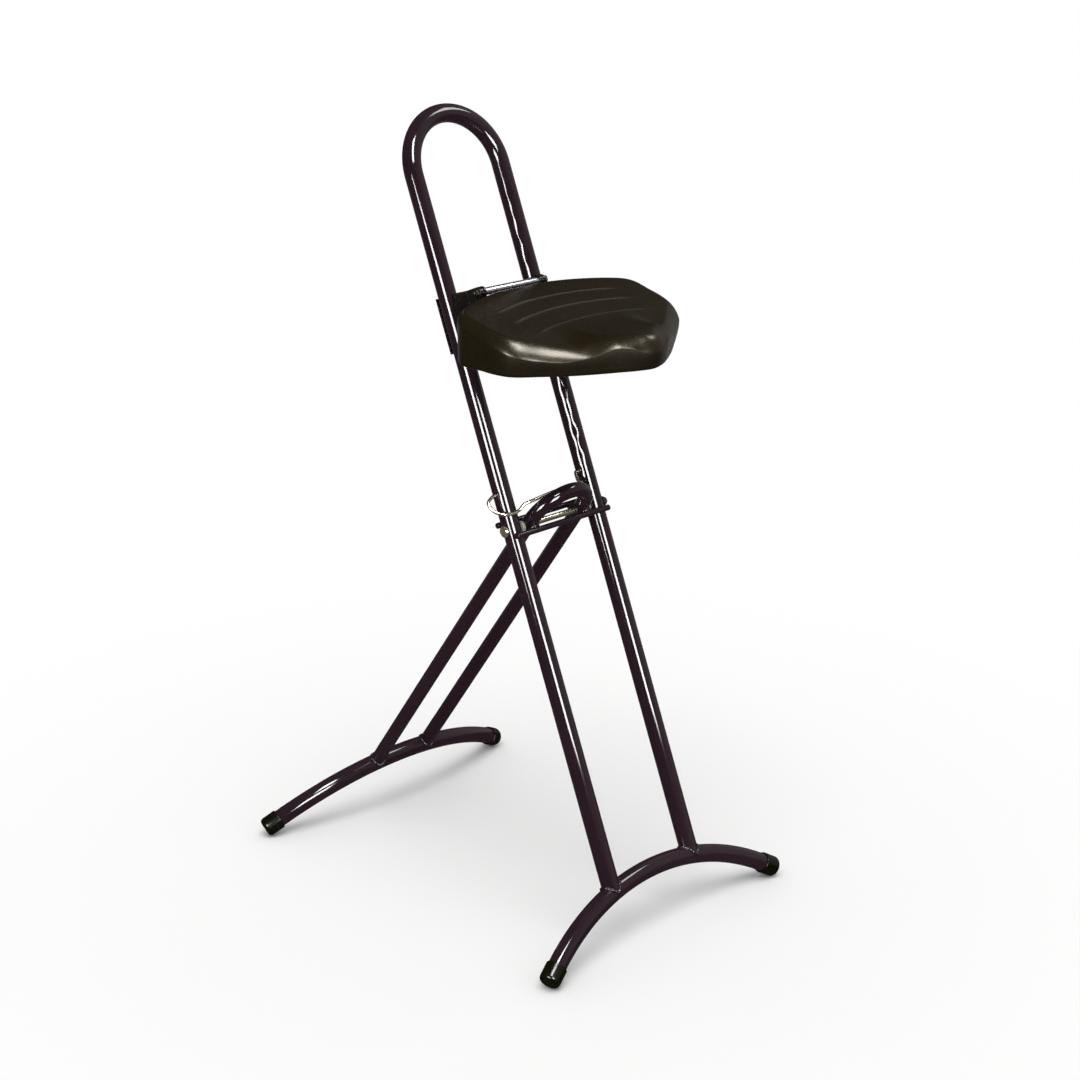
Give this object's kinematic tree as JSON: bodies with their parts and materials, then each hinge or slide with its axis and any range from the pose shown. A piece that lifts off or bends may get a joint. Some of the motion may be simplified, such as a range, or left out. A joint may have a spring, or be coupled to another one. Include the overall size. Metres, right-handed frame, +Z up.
{
  "type": "folding sit-stand stool",
  "caption": "Folding sit-stand stool: leaning tube frame with bowed feet, a clamp-down saddle seat that slides and flips up on the front tubes, and a wire latch at the crossing.",
  "frame": {"origin": "on the floor, at the bottom centre of the stool's box as it stands open", "axes": "+Z up; -Y towards the seat's nose and the front foot bar; +X to the right as seen from the front"},
  "size_m": [0.4712, 0.6188, 1.0584],
  "materials": {
    "tube_paint": "gloss black powder coat with a faint purple cast",
    "cap_plastic": "semi-gloss black moulded end caps",
    "zinc": "bright zinc plate, slightly warm",
    "dark_steel": "blackened steel",
    "bracket_paint": "satin black paint, slightly olive",
    "nylon": "black nylon",
    "bush_plastic": "pale grey-green plastic",
    "seat_skin": "brown-black moulded foam with its own satin skin and a fine grain",
    "shoe_rubber": "matt black rubber"
  },
  "bodies": {
    "main_frame": {"front_frame_tube": "tube_paint", "front_foot_bow": "tube_paint", "front_foot_cap_left": "cap_plastic", "front_foot_cap_right": "cap_plastic", "pivot_bolt": "zinc", "pivot_nut": "dark_steel", "pivot_spacer_left": "nylon", "pivot_spacer_right": "nylon"},
    "rear_frame": {"rear_frame_tube": "tube_paint", "rear_foot_bow": "tube_paint", "rear_foot_cap_left": "cap_plastic", "rear_foot_cap_right": "cap_plastic", "stop_rod_front": "tube_paint", "stop_rod_rear": "tube_paint", "pivot_bush_left": "bush_plastic", "pivot_bush_right": "bush_plastic"},
    "latch": {"latch_bail": "zinc"},
    "seat_carriage": {"guide_bracket_left": "bracket_paint", "guide_bracket_right": "bracket_paint", "glide_liner_left": "nylon", "glide_liner_right": "nylon", "axle_sleeve": "zinc", "axle_washer_left": "zinc", "axle_washer_right": "zinc", "axle_bolt": "zinc", "axle_nut": "zinc"},
    "seat": {"seat_pad": "seat_skin", "seat_support": "bracket_paint", "brake_shoe_left": "shoe_rubber", "brake_shoe_right": "shoe_rubber", "seat_screw_1": "zinc", "seat_screw_2": "zinc", "seat_screw_3": "zinc", "seat_screw_4": "zinc"}
  },
  "joints": [
    {"name": "frame_fold", "type": "hinge", "parent": "main_frame", "child": "rear_frame", "pos_m": [0, -0.07562, 0.53438], "axis": [-1, 0, 0], "range_deg": [0, 55]},
    {"name": "latch_swing", "type": "hinge", "parent": "main_frame", "child": "latch", "pos_m": [0, -0.05698, 0.57927], "axis": [-1, 0, 0], "range_deg": [0, 123.1]},
    {"name": "seat_height", "type": "slide", "parent": "main_frame", "child": "seat_carriage", "axis": [0, 0.3835, 0.9235], "range_m": [-0.12, 0.14]},
    {"name": "seat_flip", "type": "hinge", "parent": "seat_carriage", "child": "seat", "pos_m": [0, 0.00713, 0.83406], "axis": [-1, 0, 0], "range_deg": [0, 116]}
  ],
  "couplings": [
    {"joint": "latch_swing", "follows": "frame_fold", "ratio": 2.2375}
  ]
}
